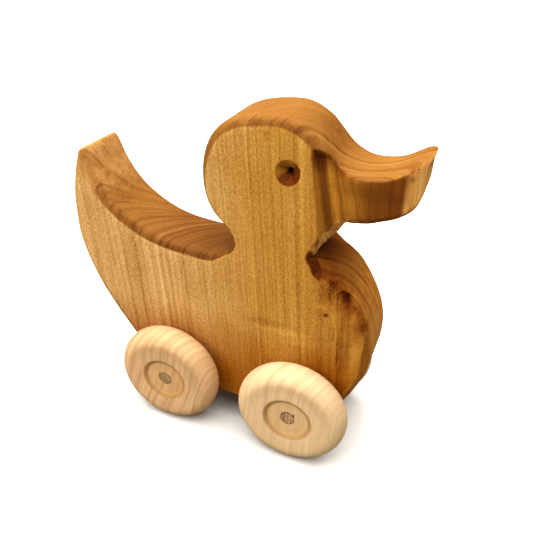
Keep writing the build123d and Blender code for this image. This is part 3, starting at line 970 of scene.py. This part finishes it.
def make_axle(name, x, seed):
    angle = np.arange(DOWEL_SEGMENTS) / DOWEL_SEGMENTS * 2 * math.pi

    def end_row(radius, side):
        """One ring of a rough, slightly domed end."""
        rough = (0.05 * round_waves(radius, angle, seed, 1.6, 3)
                 + 0.03 * np.sin(radius * np.cos(angle + seed) * 5.5))
        dome = DOWEL_HALF - 0.05 - 0.04 * (radius / 3) ** 2
        return radius, side * dome + side * np.minimum(rough, 0.05)

    barrel_end = DOWEL_HALF - 0.14
    rows = [end_row(radius, -1) for radius in DOWEL_END_RADII]
    rows += [(DOWEL_RADIUS, np.full(DOWEL_SEGMENTS, y))
             for y in np.linspace(-barrel_end, barrel_end, DOWEL_ROWS)]
    rows += [end_row(radius, 1) for radius in DOWEL_END_RADII[::-1]]
    centre = DOWEL_HALF - 0.05
    verts = np.vstack([np.stack([radius * np.cos(angle), y, radius * np.sin(angle)], 1)
                       for radius, y in rows] + [np.array([[0, -centre, 0], [0, centre, 0]])])
    afters = [(k + 1) % DOWEL_SEGMENTS for k in range(DOWEL_SEGMENTS)]
    faces = []
    for i in range(len(rows) - 1):
        row, following = i * DOWEL_SEGMENTS, (i + 1) * DOWEL_SEGMENTS
        for k, after in enumerate(afters):
            faces.append((following + k, following + after, row + after, row + k))
    last = (len(rows) - 1) * DOWEL_SEGMENTS
    right_centre = len(rows) * DOWEL_SEGMENTS
    for k, after in enumerate(afters):
        faces.append((k, after, right_centre))
        faces.append((last + after, last + k, right_centre + 1))
    axle = add_mesh(name, verts + np.array([x + AXLE_SHIFT, 0, WHEEL_RADIUS]), faces)
    add_floats(axle, side=verts[:, 0], up=verts[:, 2], radius=np.hypot(verts[:, 0], verts[:, 2]))
    return axle


DOT_BROWN = display(70, 42, 24)
RIM_BROWN = display(74, 50, 34)


def axle_material(name, base, dark, angle, seed):
    """Dowel wood with dotted end grain; the bands lie at `angle` radians."""
    graph = Graph(bpy.data.materials.new(name))
    x, up, radius = [graph.attribute(axis) for axis in ("side", "up", "radius")]
    y = graph.coords()[1]
    cos, sin = math.cos(angle), math.sin(angle)
    along = x * cos + up * sin
    cross = up * cos - x * sin
    band = graph.noise((along * 1.5, cross * 0.25, y.scaled(0.01, plus=seed * 5.0)),
                       detail=3.0, rough=0.6)
    place = graph.signal("CombineXYZ", (along * 3.2, cross * 3.2, seed))
    dots = graph.signal("TexVoronoi", {"Vector": place, "Scale": 1.0}, output="Distance")
    fibre = graph.noise((along * 2.5, cross * 2.5, y * 0.12), detail=3.0, rough=0.6) - 0.5
    colour = graph.mix(band.ramp(start=0.42, stop=0.60), base, dark)
    colour = graph.mix(dots.ramp(start=0.30, stop=0.08, high=0.55), colour, DOT_BROWN)
    colour = graph.mix(radius.ramp(start=2.82, stop=3.02, high=0.55), colour, RIM_BROWN)
    height = fibre * 1.0 - dots.ramp(start=0.3, stop=0.1)
    return graph.principled(
        colour=graph.scale(colour, fibre.scaled(0.35, plus=1.0)),
        roughness=fibre.scaled(0.3, plus=0.72),
        normal=graph.bump(height, strength=0.4, distance=0.0001))


# (end, shape seed, base colour, dark colour, band angle, grain seed)
for end, seed, base, dark, angle, grain_seed in (
        ("rear", 21, (186, 152, 108), (138, 108, 76), 0.5, 1.0),
        ("front", 22, (204, 164, 122), (150, 106, 78), 0.15, 2.0)):
    axle = make_axle(end + "_axle_dowel", AXLE_X[end], seed)
    material = axle_material("dowel_" + end, display(*base), display(*dark), angle, grain_seed)
    fit(axle, material, end + "_wheelset", end + "_axle")

# ---------------------------------------------------------------------------
# Studio: seamless white floor, two softboxes, bright surroundings (lights in metres)
# ---------------------------------------------------------------------------
FLOOR_HALF = 4000.0
FLOOR_SEEN, FLOOR_BOUNCE = (0.86, 0.845, 0.81), (0.31, 0.29, 0.24)


def make_floor():
    corners = np.array([(-1, -1, 0), (1, -1, 0), (1, 1, 0), (-1, 1, 0)]) * FLOOR_HALF
    floor = add_mesh("floor", corners, np.array([[0, 1, 2, 3]]), smooth=False)
    graph = Graph(bpy.data.materials.new("studio_floor"))
    x, y, _ = graph.coords()
    away = graph.math("SQRT", x * x + y * y)
    seen = graph.signal("LightPath", output="Is Camera Ray")
    matte = graph.signal("BsdfDiffuse", {"Color": graph.mix(seen, FLOOR_BOUNCE, FLOOR_SEEN)})
    # only the camera sees the floor glow to white in the distance
    strength = seen * away.ramp(start=190.0, stop=420.0, high=1.2)
    glow = graph.signal("Emission", {"Strength": strength})
    graph.node("OutputMaterial", (graph.signal("AddShader", (matte, glow)),))
    floor.data.materials.append(graph.owner)


def softbox(name, location, target, size, power, colour):
    light = bpy.data.lights.new(name, "AREA")
    light.shape = "RECTANGLE"
    light.size, light.size_y = size
    light.energy = power
    light.color = colour
    lamp = bpy.data.objects.new(name, light)
    lamp.location = location
    aim = Vector(target) - Vector(location)
    lamp.rotation_euler = aim.to_track_quat("-Z", "Y").to_euler()
    bpy.context.scene.collection.objects.link(lamp)


def make_world():
    """The backdrop is seen white; the light it gives is dim and warm."""
    world = bpy.data.worlds.new("white_room")
    bpy.context.scene.world = world
    graph = Graph(world)
    warm = graph.signal("Background", {"Color": (1.0, 0.91, 0.76), "Strength": 0.22})
    white = graph.signal("Background", {"Color": (1.0, 1.0, 1.0), "Strength": 1.2})
    seen = graph.signal("LightPath", output="Is Camera Ray")
    graph.node("OutputWorld", (graph.signal("MixShader", (seen, warm, white)),))


def make_camera():
    """Looks down at the duck from its right-hand side; axes are unit vectors."""
    right = (0.9074447, 0.42014829, 0.00441992)
    up = (-0.23646563, 0.50197137, 0.83193074)
    back = (0.34731561, -0.7559763, 0.55486188)
    lens = bpy.data.cameras.new("camera")
    camera = bpy.data.objects.new("camera", lens)
    bpy.context.scene.collection.objects.link(camera)
    turn = Matrix((right, up, back)).transposed().to_4x4()
    camera.matrix_world = Matrix.Translation(Vector((0.087216, -0.203900, 0.211245))) @ turn
    lens.sensor_width = 36.0
    lens.lens = 38.237
    lens.shift_x = 0.08292
    lens.shift_y = 0.04979
    lens.clip_start = 0.01
    lens.clip_end = 20.0
    bpy.context.scene.camera = camera


make_floor()
softbox("top_softbox", location=(-0.05, 0.0, 0.95), target=(0.0, 0.0, 0.06),
        size=(1.5, 1.3), power=31.0, colour=(0.98, 0.99, 1.0))
softbox("key_softbox", location=(-0.60, -0.80, 0.55), target=(0.0, 0.0, 0.07),
        size=(0.6, 0.5), power=4.5, colour=(1.0, 0.98, 0.94))
make_world()
make_camera()
view = bpy.context.scene.view_settings
view.view_transform = "Standard"
view.look = "None"
view.exposure = 0.0
view.gamma = 0.86
